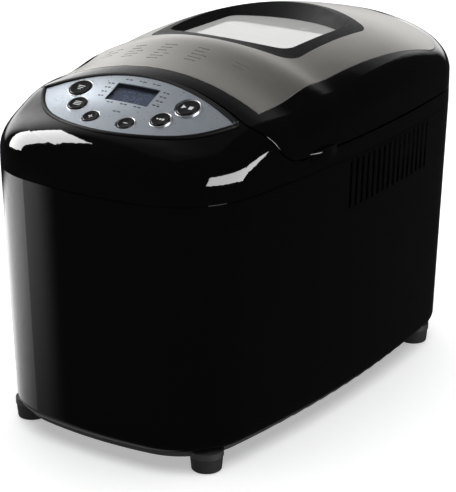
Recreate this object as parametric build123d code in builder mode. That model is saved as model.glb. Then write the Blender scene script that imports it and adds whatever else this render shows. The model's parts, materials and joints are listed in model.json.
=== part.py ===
from build123d import *
from math import atan, cos, degrees, radians, sin, sqrt
import os

# Bread machine with two kneading paddles, in millimetres.
# Origin: on the floor, under the middle of the machine.
# +X right hand side seen from the front, +Y towards the back, +Z up.

# ---------------------------------------------------------------- driving dimensions
# Housing plan at the parting line: a bowed rectangle with large round corners
SIDE_HALF_WIDTH = 123.2
FRONT_Y = -209.5
BACK_Y = 209.5
MIDDLE_Y = 5.5
SIDE_BOW_RADIUS = 1102.0
FRONT_BOW_RADIUS = 351.0
BACK_BOW_RADIUS = 1085.0
CORNER_RADIUS = 70.0

# Heights
FOOT_HEIGHT = 12.0
BODY_BOTTOM_Z = 17.6
PARTING_Z = 219.4
RIM_Z = 233.0
LID_BOTTOM_Z = 234.2
TOP_Z = 306.8

# Walls and gaps
LOWER_WALL = 2.5
UPPER_WALL = 3.2
DRAFT_INSET = 6.9
PARTING_GROOVE = 0.6
SEAM_GAP = RIM_Z - LID_BOTTOM_Z
BOTTOM_RADIUS = 8.0
LUG_Z = 21.0
LUG_YS = (-125, 0, 122)
SHOULDER_RADIUS = 26.0
EDGE_RADIUS = 0.8
PLATE_EDGE = 0.3

# Domed top: a plane over the control panel, two parabolas that meet at the crown, and a straight tail
CROWN_Y = 50.5
TAIL_Y = 145.5
FRONT_CURVE = 0.00067
BACK_CURVE = 0.00125
PANEL_SLOPE = 0.423
PANEL_AT_ORIGIN = 337.2
PANEL_DROOP = 16.0
DOME_DROOP = 24.5
PLATE_PROUD = 0.4
PLATE_RECESS = 0.8

# Lid seam: a shallow arc in plan, and a slope with a round foot seen from the side
SEAM_ARC_RADIUS = 418.0
SEAM_FRONT_Y = -113.6
SEAM_FOOT_Y = -80.5
SEAM_FOOT_RADIUS = 40.0
SEAM_FOOT_TURN = 54.0

# Lid hinge
HINGE_Y = 206.0
HINGE_Z = 241.5
HINGE_X = 55.0
HINGE_EYE_RADIUS = 3.5
HINGE_PIN_RADIUS = 1.5
HINGE_BRACKET_WIDTH = 16.0
HINGE_PIN_LENGTH = 30.0

# Lid window
WINDOW_HALF_WIDTH = 71.0
GLASS_HALF_WIDTH = 55.0
GLASS_TOP_Z = 291.5
GLASS_THICKNESS = 3.0

# Control panel: button centre and cap radius, right hand half; the left half mirrors it
LENS_TIP_X = 94.0
LENS_TIP_Y = -127.5
LENS_BACK_Y = -116.8
LENS_FRONT_Y = -184.5
BUTTONS = (("outer", 51.0, -136.0, 9.0), ("middle", 39.2, -154.9, 7.5), ("inner", 16.5, -168.0, 6.5))
BUTTON_RING = 1.6
BUTTON_CLEARANCE = 0.3
BUTTON_TRAVEL = 1.0
SWITCH_HEIGHT = 2.0
LCD_CENTRE_Y = -137.4
LCD_WIDTH = 40.0
LCD_HEIGHT = 20.2
BOARD_DEPTH = 16.0

# Oven chamber and bread pan
CHAMBER_Y = 60.0
CHAMBER_HALF_X = 84.0
CHAMBER_HALF_Y = 126.0
CHAMBER_FLOOR_Z = 72.0
CHAMBER_RADIUS = 28.0
HEATER_Z = 84.0
HEATER_RADIUS = 3.2
SENSOR_Z = 125.0
SHEET = 1.0
PAN_HALF_X = 66.0
PAN_HALF_Y = 112.0
PAN_TAPER = 5.0
PAN_BOTTOM_Z = 92.0
PAN_TOP_Z = 212.0
PAN_WALL = 1.2
HANDLE_Z = 199.0
HANDLE_WIRE = 2.2
PADDLE_SPACING = 104.0

# Drive under the chamber
SHAFT_RADIUS = 4.0
BEARING_CLEARANCE = 0.05
BIG_PULLEY_RADIUS = 45.0
TIMING_PULLEY_RADIUS = 16.0
MOTOR_PULLEY_RADIUS = 9.0
MOTOR_Y = -138.0
MOTOR_RADIUS = 36.0
BELT_GAP = 0.3
BELT_THICKNESS = 2.0
BELT_WIDTH = 8.0
BELT_ONE_Z = 25.0
BELT_TWO_Z = 38.0

# Feet: name and plan position
FEET = (
    ("front_left", -87, -165),
    ("front_right", 87, -165),
    ("back_left", -90, 152),
    ("back_right", 90, 152),
)

# Power board, upright beside the motor
BOARD_X = -70.0

# Cord inlet
GLAND_X = -60.0
GLAND_Z = 46.0
GLAND_BORE_RADIUS = 3.6

PADDLE_YS = {"front": CHAMBER_Y - PADDLE_SPACING / 2, "rear": CHAMBER_Y + PADDLE_SPACING / 2}
PANEL_ANGLE = degrees(atan(PANEL_SLOPE))
PANEL_NORMAL = (0, -sin(radians(PANEL_ANGLE)), cos(radians(PANEL_ANGLE)))
STANDING = (Align.CENTER, Align.CENTER, Align.MIN)
HANGING = (Align.CENTER, Align.CENTER, Align.MAX)


def save(piece, name):
    """Label a finished piece and write its file."""
    piece.label = name
    export_step(piece, f"parts/{name}.step")


# ---------------------------------------------------------------- shared outlines and blocks
def housing_outline(height, inset=0.0):
    """Plan of the housing: four large discs overlap in a bowed rectangle with round corners."""
    with BuildSketch(Plane.XY.offset(height)) as outline:
        with Locations(Location((SIDE_HALF_WIDTH - SIDE_BOW_RADIUS, MIDDLE_Y), 180)):
            Circle(SIDE_BOW_RADIUS - inset)
        with Locations((SIDE_BOW_RADIUS - SIDE_HALF_WIDTH, MIDDLE_Y)):
            Circle(SIDE_BOW_RADIUS - inset, mode=Mode.INTERSECT)
        with Locations((0, FRONT_Y + FRONT_BOW_RADIUS)):
            Circle(FRONT_BOW_RADIUS - inset, mode=Mode.INTERSECT)
        with Locations((0, BACK_Y - BACK_BOW_RADIUS)):
            Circle(BACK_BOW_RADIUS - inset, mode=Mode.INTERSECT)
        fillet(outline.vertices(), CORNER_RADIUS - inset)
    return outline.sketch


def crown_height(y):
    """Height of the top surface over the middle line."""
    if y > TAIL_Y:
        tail_drop = BACK_CURVE * (TAIL_Y - CROWN_Y) * (2 * y - TAIL_Y - CROWN_Y)
        return TOP_Z - tail_drop
    curve = FRONT_CURVE if y < CROWN_Y else BACK_CURVE
    return min(TOP_Z - curve * (y - CROWN_Y) ** 2, PANEL_AT_ORIGIN + PANEL_SLOPE * y)


def crown_droop(y):
    """How far the top surface falls from the middle line to 100 mm beside it."""
    share = min(max((y + 160.0) / 90.0, 0.0), 1.0)
    return PANEL_DROOP + share**2 * (3 - 2 * share) * (DOME_DROOP - PANEL_DROOP)


def panel_height(x, y):
    """Height of the control panel's surface."""
    return PANEL_AT_ORIGIN + PANEL_SLOPE * y - PANEL_DROOP * (x / 100.0) ** 2


def dome(offset_z):
    """Block under the top surface, with that surface moved up or down."""
    reach = 135.0
    fitted = 110.0
    with BuildPart() as block:
        for y in (-240, -200, -165, -138, -118, -98, -70, -30, 10, 50, 90, 130, 170, 205, 240):
            crown = crown_height(y) + offset_z
            droop = crown_droop(y) * (fitted / 100.0) ** 2
            radius = (fitted**2 + droop**2) / (2 * droop)
            edge = crown - radius + sqrt(radius**2 - reach**2)
            with BuildSketch(Plane.XZ.offset(-y)):
                with BuildLine():
                    ThreePointArc((-reach, edge), (0, crown), (reach, edge))
                    Polyline((reach, edge), (reach, 150), (-reach, 150), (-reach, edge))
                make_face()
        loft()
    return block.part


def top_block(inset):
    """The housing above the parting line, with its domed top and round shoulder."""
    top_surface = dome(-inset)
    with BuildPart() as block:
        add(housing_outline(PARTING_Z, inset))
        extrude(amount=TOP_Z - PARTING_Z + 10)
        add(top_surface, mode=Mode.INTERSECT)
        shoulder = block.faces().sort_by(Axis.Z)[-1].edges()
        fillet(shoulder, SHOULDER_RADIUS - inset)
    return block.part


def lid_zone(shrink):
    """Space above the lid's lower edge and behind its front seam."""
    foot_radius = SEAM_FOOT_RADIUS - shrink
    low_z = LID_BOTTOM_Z + shrink
    far_y = BACK_Y + 30
    side_x = 140.0
    side_y = SEAM_FRONT_Y + shrink - SEAM_ARC_RADIUS + sqrt(SEAM_ARC_RADIUS**2 - side_x**2)
    with BuildPart() as zone:
        with BuildSketch(Plane.YZ):
            with BuildLine():
                lower = Line((far_y, low_z), (SEAM_FOOT_Y, low_z))
                foot = JernArc(lower @ 1, lower % 1, foot_radius, -SEAM_FOOT_TURN)
                slope = Line(foot @ 1, foot @ 1 + (foot % 1) * 90)
                Polyline(slope @ 1, (far_y, (slope @ 1).Y), (far_y, low_z))
            make_face()
        extrude(amount=side_x, both=True)
        with BuildSketch(Plane.XY.offset(RIM_Z - 20)):
            with BuildLine():
                ThreePointArc((-side_x, side_y), (0, SEAM_FRONT_Y + shrink), (side_x, side_y))
                Polyline((side_x, side_y), (side_x, far_y), (-side_x, far_y), (-side_x, side_y))
            make_face()
        extrude(amount=120, mode=Mode.INTERSECT)
    return zone.part


def decor_outline(height, grow=0.0):
    """Plan of the steel plate on the lid."""
    with BuildSketch(Plane.XY.offset(height)) as outline:
        front_x = 94.6 + grow
        side_x = 100.6 + grow
        back_x = 105.5 + grow
        front_y = -106.7 - grow
        back_y = 175.0 + grow
        with BuildLine():
            ThreePointArc((-front_x, front_y), (0, front_y + 5.2), (front_x, front_y))
            ThreePointArc((front_x, front_y), (side_x, 30), (back_x, back_y))
            ThreePointArc((back_x, back_y), (0, back_y + 3), (-back_x, back_y))
            ThreePointArc((-back_x, back_y), (-side_x, 30), (-front_x, front_y))
        make_face()
        fillet(outline.vertices().group_by(Axis.Y)[-1], 40 + grow)
    return outline.sketch


def bowed_pane(height, half, ends, bows, radius):
    """Straight-sided pane whose front and back edges bow outwards."""
    front_y, back_y = ends
    front_bow, back_bow = bows
    with BuildSketch(Plane.XY.offset(height)) as outline:
        with BuildLine():
            ThreePointArc((-half, front_y), (0, front_y - front_bow), (half, front_y))
            Line((half, front_y), (half, back_y))
            ThreePointArc((half, back_y), (0, back_y + back_bow), (-half, back_y))
            Line((-half, back_y), (-half, front_y))
        make_face()
        fillet(outline.vertices(), radius)
    return outline.sketch


def window_outline(height, grow=0.0):
    """Plan of the window opening in the lid."""
    ends = (-24 - grow, 91 + grow)
    return bowed_pane(height, WINDOW_HALF_WIDTH + grow, ends, (13, 19.5), 18 + grow)


def glass_outline(height, grow=0.0):
    """Plan of the clear part of the window glass."""
    ends = (-8 - grow, 76 + grow)
    return bowed_pane(height, GLASS_HALF_WIDTH + grow, ends, (8, 17.5), 12 + grow)


def lens_outline(height, grow=0.0):
    """Plan of the control panel: two arcs that meet at the tips."""
    tip_x = LENS_TIP_X + 4 * grow
    with BuildSketch(Plane.XY.offset(height)) as outline:
        with BuildLine():
            ThreePointArc((-tip_x, LENS_TIP_Y), (0, LENS_BACK_Y + grow), (tip_x, LENS_TIP_Y))
            ThreePointArc((tip_x, LENS_TIP_Y), (0, LENS_FRONT_Y - grow), (-tip_x, LENS_TIP_Y))
        make_face()
        fillet(outline.vertices(), 4)
    return outline.sketch


def round_rectangle(height, half_x, half_y, radius, centre_y=CHAMBER_Y):
    """Rounded rectangle on a level plane, centred on the chamber."""
    with BuildSketch(Plane.XY.offset(height)) as outline:
        with Locations((0, centre_y)):
            RectangleRounded(2 * half_x, 2 * half_y, radius)
    return outline.sketch


def panel_plane(x, y, depth=0.0):
    """Plane parallel to the control panel at a plan position, sunk by a depth."""
    surface = Vector(x, y, panel_height(x, y))
    return Plane(surface - Vector(PANEL_NORMAL) * depth, x_dir=(1, 0, 0), z_dir=PANEL_NORMAL)


def button_list():
    """Name, x, y and cap radius of each button."""
    for place, x, y, radius in BUTTONS:
        yield f"{place}_left", -x, y, radius
        yield f"{place}_right", x, y, radius


os.makedirs("parts", exist_ok=True)
SKIN = top_block(0.0)
INNER_SKIN = top_block(UPPER_WALL)
PLATE_TOP = dome(PLATE_PROUD)
PLATE_BED = dome(-PLATE_RECESS)


# ---------------------------------------------------------------- lower housing, base and feet
def make_lower_housing():
    """Tapered shell with a rounded lower edge, side vents and the cord hole."""
    vent_count = 16
    vent_pitch = 8.6
    vent_middle_y = 48.5
    vent_middle_z = 197.0
    with BuildPart() as cavity:
        add(housing_outline(BODY_BOTTOM_Z + LOWER_WALL, DRAFT_INSET + LOWER_WALL))
        add(housing_outline(PARTING_Z, LOWER_WALL))
        loft()
        fillet(cavity.edges().group_by(Axis.Z)[0], BOTTOM_RADIUS - LOWER_WALL)
        with Locations(*[(side * 102, y, LUG_Z) for side in (-1, 1) for y in LUG_YS]):
            Box(40, 12, 10, align=STANDING, mode=Mode.SUBTRACT)
    with BuildPart() as lower_housing:
        add(housing_outline(BODY_BOTTOM_Z, DRAFT_INSET))
        add(housing_outline(PARTING_Z))
        loft()
        fillet(lower_housing.edges().group_by(Axis.Z)[0], BOTTOM_RADIUS)
        add(cavity.part, mode=Mode.SUBTRACT)
        add(housing_outline(BODY_BOTTOM_Z - 2, DRAFT_INSET + BOTTOM_RADIUS))
        extrude(amount=LUG_Z - BODY_BOTTOM_Z + 2, mode=Mode.SUBTRACT)
        with Locations((0, vent_middle_y, vent_middle_z)):
            with GridLocations(2 * SIDE_HALF_WIDTH, vent_pitch, 2, vent_count):
                Box(24, 3.5, 40, mode=Mode.SUBTRACT)
        with Locations(*[(x, y, LUG_Z) for x, y in base_screw_places()]):
            Cylinder(1.6, 16, mode=Mode.SUBTRACT)
        with BuildSketch(Plane.XZ.offset(-BACK_Y)):
            with Locations((GLAND_X, GLAND_Z)):
                Circle(8.2)
        extrude(amount=30, mode=Mode.SUBTRACT)
    save(lower_housing.part, "lower_housing")


def base_screw_places():
    """Plan positions of the base screws."""
    return [(x, y) for x in (-88, 88) for y in LUG_YS]


def make_base():
    """Tray that closes the underside, with posts for the motor bracket and the power board."""
    tray_inset = DRAFT_INSET + BOTTOM_RADIUS + 0.4
    floor_top = FOOT_HEIGHT + 2.0
    with BuildPart() as base_plate:
        add(housing_outline(FOOT_HEIGHT, tray_inset))
        extrude(amount=8.0)
        fillet(base_plate.edges().group_by(Axis.Z)[0], 2.0)
        add(housing_outline(floor_top, tray_inset + 2.0))
        extrude(amount=20, mode=Mode.SUBTRACT)
        with Locations(*[(x, y, FOOT_HEIGHT) for _, x, y in FEET]):
            Cylinder(13.5, 5, align=STANDING)
        with Locations(*[(x, y, floor_top) for x, y in base_screw_places()]):
            Cylinder(5, LUG_Z - floor_top, align=STANDING)
        with Locations((BOARD_X, -178, floor_top), (BOARD_X, -96, floor_top)):
            Box(8, 5, 66, align=STANDING)
        with Locations((BOARD_X, -137, floor_top + 26)):
            Box(1.8, 80, 60, align=STANDING, mode=Mode.SUBTRACT)
        with Locations(*[(x, y, FOOT_HEIGHT) for x, y in base_screw_places()]):
            Cylinder(1.6, 30, mode=Mode.SUBTRACT)
    save(base_plate.part, "base_plate")


def make_feet():
    """Round rubber feet with a recessed underside."""
    for name, x, y in FEET:
        with BuildPart() as foot:
            with BuildSketch(Plane((x, y, 0), x_dir=(1, 0, 0), z_dir=(0, -1, 0))):
                with BuildLine():
                    Polyline((3, 4), (3, FOOT_HEIGHT), (13, FOOT_HEIGHT), (12, 1.5))
                    ThreePointArc((12, 1.5), (11.5, 0.4), (10.4, 0))
                    Polyline((10.4, 0), (6, 0), (6, 4), (3, 4))
                make_face()
            revolve(axis=Axis((x, y, 0), (0, 0, 1)))
        save(foot.part, f"foot_{name}")


def make_base_screws():
    """Screws that hold the tray to the housing."""
    with BuildPart() as base_screws:
        with Locations(*[(x, y, FOOT_HEIGHT) for x, y in base_screw_places()]):
            Cylinder(1.6, 14, align=STANDING)
            Cylinder(3.2, 2, align=HANGING)
    save(base_screws.part, "base_screws")


def make_cord_gland():
    """Bushing in the back wall that the mains cord passes through."""
    wall_y = 201.6
    with BuildPart() as cord_gland:
        with BuildSketch(Plane.XZ.offset(-(wall_y + 1.3))):
            with Locations((GLAND_X, GLAND_Z)):
                Circle(11)
        extrude(amount=-3)
        with BuildSketch(Plane.XZ.offset(-(wall_y + 1.3))):
            with Locations((GLAND_X, GLAND_Z)):
                Circle(7.8)
        extrude(amount=16)
        fillet(cord_gland.edges().filter_by(GeomType.CIRCLE).sort_by(Axis.Y)[-1], 1.2)
        with BuildSketch(Plane.XZ.offset(-(wall_y + 8))):
            with Locations((GLAND_X, GLAND_Z)):
                Circle(GLAND_BORE_RADIUS)
        extrude(amount=30, mode=Mode.SUBTRACT)
    save(cord_gland.part, "cord_gland")


# ---------------------------------------------------------------- upper housing and controls
def make_upper_housing():
    """Hood over the controls and rim around the chamber, in one moulding."""
    outer_cut = lid_zone(SEAM_GAP)
    inner_cut = lid_zone(SEAM_GAP - UPPER_WALL)
    with BuildPart() as hollow:
        add(INNER_SKIN)
        add(inner_cut, mode=Mode.SUBTRACT)
    with BuildPart() as lens_bed:
        add(lens_outline(RIM_Z - 10, 0.3))
        extrude(amount=90)
        add(PLATE_BED, mode=Mode.SUBTRACT)
    with BuildPart() as parting_ring:
        add(housing_outline(PARTING_Z, -1.0))
        extrude(amount=PARTING_GROOVE)
        add(housing_outline(PARTING_Z, 1.2))
        extrude(amount=PARTING_GROOVE, mode=Mode.SUBTRACT)
    with BuildPart() as upper_housing:
        add(SKIN)
        add(outer_cut, mode=Mode.SUBTRACT)
        add(hollow.part, mode=Mode.SUBTRACT)
        add(lens_bed.part, mode=Mode.SUBTRACT)
        # Tongue that drops into the lower housing, and the shadow groove at the parting line
        add(housing_outline(PARTING_Z - 6, UPPER_WALL - 0.2))
        extrude(amount=9)
        add(housing_outline(PARTING_Z - 7, UPPER_WALL + 1.8))
        extrude(amount=10.5, mode=Mode.SUBTRACT)
        add(parting_ring.part, mode=Mode.SUBTRACT)
        # Mouth of the oven chamber
        add(round_rectangle(RIM_Z - 15, CHAMBER_HALF_X - 1, CHAMBER_HALF_Y - 1, CHAMBER_RADIUS))
        extrude(amount=30, mode=Mode.SUBTRACT)
        # Bosses for the control board
        for x, y in board_screw_places():
            with BuildSketch(panel_plane(x, y, board_depth(x))):
                Circle(3.2)
            extrude(amount=board_depth(x) - 1.5)
        # Holes for the buttons and the display
        for _, x, y, radius in button_list():
            with BuildSketch(panel_plane(x, y, 6)):
                Circle(radius + BUTTON_RING)
            extrude(amount=9, mode=Mode.SUBTRACT)
        with BuildSketch(panel_plane(0, LCD_CENTRE_Y, 6)):
            Rectangle(LCD_WIDTH + 4, LCD_HEIGHT + 4)
        extrude(amount=9, mode=Mode.SUBTRACT)
    save(upper_housing.part, "upper_housing")


def board_screw_places():
    """Plan positions of the control board's screws."""
    return [(x, y) for x in (-66, 66) for y in (-170, -134)]


def board_depth(x):
    """Depth of the control board under the curved panel, beside the middle line."""
    return BOARD_DEPTH - PANEL_DROOP * (x / 100.0) ** 2 * cos(radians(PANEL_ANGLE))


def make_fascia():
    """Silver panel plate let into the hood, with holes for buttons and display."""
    with BuildPart() as control_fascia:
        add(lens_outline(RIM_Z - 10))
        extrude(amount=90)
        add(PLATE_BED, mode=Mode.SUBTRACT)
        add(PLATE_TOP, mode=Mode.INTERSECT)
        top = control_fascia.faces().sort_by(SortBy.AREA)[-2:].sort_by(Axis.Z)[-1]
        fillet(top.edges(), PLATE_EDGE)
        for _, x, y, radius in button_list():
            with BuildSketch(panel_plane(x, y, 6)):
                Circle(radius + BUTTON_RING)
            extrude(amount=9, mode=Mode.SUBTRACT)
        with BuildSketch(panel_plane(0, LCD_CENTRE_Y, 6)):
            Rectangle(LCD_WIDTH, LCD_HEIGHT)
        extrude(amount=9, mode=Mode.SUBTRACT)
    save(control_fascia.part, "control_fascia")


def make_display():
    """Clear window under the panel plate, and the display module behind it."""
    with BuildPart() as lcd_window:
        with BuildSketch(panel_plane(0, LCD_CENTRE_Y, 3.4)):
            RectangleRounded(LCD_WIDTH + 3.4, LCD_HEIGHT + 3.4, 1)
        extrude(amount=1.2)
        with BuildSketch(panel_plane(0, LCD_CENTRE_Y, 2.4)):
            Rectangle(LCD_WIDTH - 0.4, LCD_HEIGHT - 0.4)
        extrude(amount=1.8)
    save(lcd_window.part, "lcd_window")
    with BuildPart() as lcd_module:
        with BuildSketch(panel_plane(0, LCD_CENTRE_Y, BOARD_DEPTH)):
            Rectangle(LCD_WIDTH + 6, LCD_HEIGHT + 5)
        extrude(amount=BOARD_DEPTH - 4.2)
    save(lcd_module.part, "lcd_module")


def make_buttons():
    """Six round caps with a flange, each on a stem over its switch."""
    flange_depth = 6.5
    for name, x, y, radius in button_list():
        stem_end = board_depth(x) - SWITCH_HEIGHT - BUTTON_TRAVEL - 0.2
        with BuildPart() as button:
            with BuildSketch(panel_plane(x, y, flange_depth)):
                Circle(radius + BUTTON_RING + 1.0)
            extrude(amount=1.2)
            with BuildSketch(panel_plane(x, y, flange_depth)):
                Circle(radius)
            extrude(amount=flange_depth + 1.4)
            with BuildSketch(panel_plane(x, y, stem_end)):
                Circle(2)
            extrude(amount=stem_end - flange_depth + 0.5)
        save(button.part, f"button_{name}")


def make_button_rings():
    """Bright trim rings pressed into the panel plate around the caps."""
    with BuildPart() as button_rings:
        for _, x, y, radius in button_list():
            with BuildSketch(panel_plane(x, y, 1.6)):
                Circle(radius + BUTTON_RING - 0.1)
                Circle(radius + BUTTON_CLEARANCE, mode=Mode.SUBTRACT)
            extrude(amount=2.4)
    save(button_rings.part, "button_rings")


def make_control_board():
    """Board under the panel, its switches and its screws."""
    centre_y = -154.0
    with BuildPart() as control_board:
        with BuildSketch(panel_plane(0, centre_y, BOARD_DEPTH + 1.6)) as board:
            Rectangle(142, 48)
            fillet(board.vertices(), 4)
        extrude(amount=1.6)
        for x, y in board_screw_places():
            with BuildSketch(panel_plane(x, y, board_depth(x) + 4)):
                Circle(1.6)
            extrude(amount=8, mode=Mode.SUBTRACT)
    save(control_board.part, "control_board")
    with BuildPart() as tact_switches:
        for _, x, y, _ in button_list():
            with BuildSketch(panel_plane(x, y, board_depth(x))):
                Rectangle(6, 6)
            extrude(amount=SWITCH_HEIGHT)
    save(tact_switches.part, "tact_switches")
    with BuildPart() as panel_screws:
        for x, y in board_screw_places():
            depth = board_depth(x) + 1.6
            with BuildSketch(panel_plane(x, y, depth)):
                Circle(1.5)
            extrude(amount=1.6)
            with BuildSketch(panel_plane(x, y, depth + 1.6)):
                Circle(3)
            extrude(amount=1.6)
    save(panel_screws.part, "panel_screws")


# ---------------------------------------------------------------- lid
def make_lid_frame():
    """Domed lid moulding with side grips, plate recess, window and hinge knuckles."""
    hollow_zone = lid_zone(UPPER_WALL)
    outer_zone = lid_zone(0.0)
    underside_front = SEAM_FOOT_Y + 4.0
    with BuildPart() as hollow:
        add(INNER_SKIN)
        add(hollow_zone, mode=Mode.INTERSECT)
        add(housing_outline(RIM_Z - 5, UPPER_WALL))
        extrude(amount=12)
        with BuildSketch(Plane.XY.offset(RIM_Z - 20)):
            with Locations((0, underside_front - 100)):
                Rectangle(400, 200)
        extrude(amount=24, mode=Mode.SUBTRACT)
    with BuildPart() as plate_bed:
        add(decor_outline(RIM_Z, 0.2))
        extrude(amount=90)
        add(PLATE_BED, mode=Mode.SUBTRACT)
    with BuildPart() as grips:
        for side in (-1, 1):
            with BuildSketch(Plane.XY.offset(LID_BOTTOM_Z - 6.5)):
                with BuildLine():
                    ThreePointArc((side * 117, -79), (side * 125.6, -54), (side * 117, -29))
                    Line((side * 117, -29), (side * 117, -79))
                make_face()
            extrude(amount=9.5)
        fillet(grips.edges().filter_by(GeomType.CIRCLE), 1.5)
        add(housing_outline(PARTING_Z, -0.7))
        extrude(amount=LID_BOTTOM_Z - PARTING_Z, mode=Mode.SUBTRACT)
        add(housing_outline(PARTING_Z, 1.5))
        extrude(amount=30, mode=Mode.SUBTRACT)
    with BuildPart() as lid_frame:
        add(SKIN)
        add(outer_zone, mode=Mode.INTERSECT)
        fillet(lid_frame.faces().sort_by(Axis.Z)[0].edges(), EDGE_RADIUS)
        add(hollow.part, mode=Mode.SUBTRACT)
        add(grips.part)
        add(plate_bed.part, mode=Mode.SUBTRACT)
        add(window_outline(RIM_Z + 10))
        extrude(amount=90, mode=Mode.SUBTRACT)
        # Hinge: knuckles either side of each bracket, and a notch for the bracket
        for x in (-HINGE_X, HINGE_X):
            with BuildSketch(Plane.YZ.offset(x - HINGE_PIN_LENGTH / 2)):
                with Locations((HINGE_Y, HINGE_Z)):
                    Circle(HINGE_EYE_RADIUS)
            extrude(amount=HINGE_PIN_LENGTH)
            with Locations((x, HINGE_Y + 4, HINGE_Z - 2)):
                Box(HINGE_BRACKET_WIDTH + 1.2, 17, 13.4, mode=Mode.SUBTRACT)
            with BuildSketch(Plane.YZ.offset(x - HINGE_PIN_LENGTH / 2)):
                with Locations((HINGE_Y, HINGE_Z)):
                    Circle(HINGE_PIN_RADIUS)
            extrude(amount=HINGE_PIN_LENGTH, mode=Mode.SUBTRACT)
    save(lid_frame.part, "lid_frame")


def make_decor_plate():
    """Brushed steel plate let into the lid, open over the window."""
    with BuildPart() as decor_plate:
        add(decor_outline(RIM_Z))
        extrude(amount=90)
        add(PLATE_TOP, mode=Mode.INTERSECT)
        add(PLATE_BED, mode=Mode.SUBTRACT)
        add(window_outline(RIM_Z))
        extrude(amount=90, mode=Mode.SUBTRACT)
        top = decor_plate.faces().sort_by(SortBy.AREA)[-2:].sort_by(Axis.Z)[-1]
        fillet(top.edges(), PLATE_EDGE)
    save(decor_plate.part, "decor_plate")


def make_window():
    """Sloped black bezel and the flat outer glass that it holds."""
    with BuildPart() as window_bezel:
        add(window_outline(GLASS_TOP_Z - GLASS_THICKNESS - 2, -0.2))
        extrude(amount=40)
        add(PLATE_TOP, mode=Mode.INTERSECT)
        add(glass_outline(GLASS_TOP_Z))
        add(window_outline(TOP_Z + 1, -2.0))
        loft(mode=Mode.SUBTRACT)
        add(glass_outline(GLASS_TOP_Z - GLASS_THICKNESS, 3.0))
        extrude(amount=GLASS_THICKNESS, mode=Mode.SUBTRACT)
        add(glass_outline(GLASS_TOP_Z - 10, -2.0))
        extrude(amount=11, mode=Mode.SUBTRACT)
    save(window_bezel.part, "window_bezel")
    with BuildPart() as window_glass:
        add(glass_outline(GLASS_TOP_Z - GLASS_THICKNESS, 2.8))
        extrude(amount=GLASS_THICKNESS)
    save(window_glass.part, "window_glass")


def make_lid_liner():
    """Steel tray in the lid with its flange sheet, its pane and its seal."""
    flange_z = LID_BOTTOM_Z + 2.4
    roof_z = 262.0
    front_edge = SEAM_FOOT_Y + 5.0
    with BuildPart() as liner_flange:
        add(housing_outline(flange_z, UPPER_WALL + 0.4))
        extrude(amount=SHEET)
        with BuildSketch(Plane.XY.offset(flange_z)):
            with Locations((0, front_edge - 100)):
                Rectangle(400, 200)
        extrude(amount=SHEET, mode=Mode.SUBTRACT)
        with Locations((0, HINGE_Y, flange_z)):
            Box(150, 12, 8, mode=Mode.SUBTRACT)
        add(round_rectangle(flange_z, 81.1, 123.1, 24.1))
        extrude(amount=SHEET, mode=Mode.SUBTRACT)
    save(liner_flange.part, "liner_flange")
    with BuildPart() as lid_liner:
        add(round_rectangle(flange_z, 81, 123, 24))
        add(round_rectangle(roof_z + SHEET, 77, 118, 20))
        loft()
        add(round_rectangle(flange_z, 80, 122, 23))
        add(round_rectangle(roof_z, 76, 117, 19))
        loft(mode=Mode.SUBTRACT)
        add(round_rectangle(roof_z, 48, 42, 10, 37))
        extrude(amount=SHEET, mode=Mode.SUBTRACT)
    save(lid_liner.part, "lid_liner")
    with BuildPart() as inner_glass:
        add(round_rectangle(roof_z + SHEET, 52, 46, 12, 37))
        extrude(amount=2.5)
    save(inner_glass.part, "inner_glass")
    with BuildPart() as lid_seal:
        add(round_rectangle(RIM_Z + 0.4, 91, 132, 34))
        extrude(amount=flange_z - RIM_Z - 0.4)
        add(round_rectangle(RIM_Z + 0.4, 87, 128, 30))
        extrude(amount=flange_z - RIM_Z - 0.4, mode=Mode.SUBTRACT)
    save(lid_seal.part, "lid_seal")


def make_hinge():
    """Eyes that stand on the rim, and the pins through them."""
    post_depth = 4.8
    with BuildPart() as hinge_brackets:
        for x in (-HINGE_X, HINGE_X):
            with BuildSketch(Plane.YZ.offset(x - HINGE_BRACKET_WIDTH / 2)):
                with Locations((HINGE_Y, HINGE_Z)):
                    Circle(HINGE_EYE_RADIUS)
                with Locations((HINGE_Y - 0.6, (RIM_Z + HINGE_Z) / 2)):
                    Rectangle(post_depth, HINGE_Z - RIM_Z)
                with Locations((HINGE_Y, HINGE_Z)):
                    Circle(HINGE_PIN_RADIUS + BEARING_CLEARANCE, mode=Mode.SUBTRACT)
            extrude(amount=HINGE_BRACKET_WIDTH)
    save(hinge_brackets.part, "hinge_brackets")
    with BuildPart() as hinge_pins:
        for x in (-HINGE_X, HINGE_X):
            with BuildSketch(Plane.YZ.offset(x - HINGE_PIN_LENGTH / 2)):
                with Locations((HINGE_Y, HINGE_Z)):
                    Circle(HINGE_PIN_RADIUS)
            extrude(amount=HINGE_PIN_LENGTH)
    save(hinge_pins.part, "hinge_pins")


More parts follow.
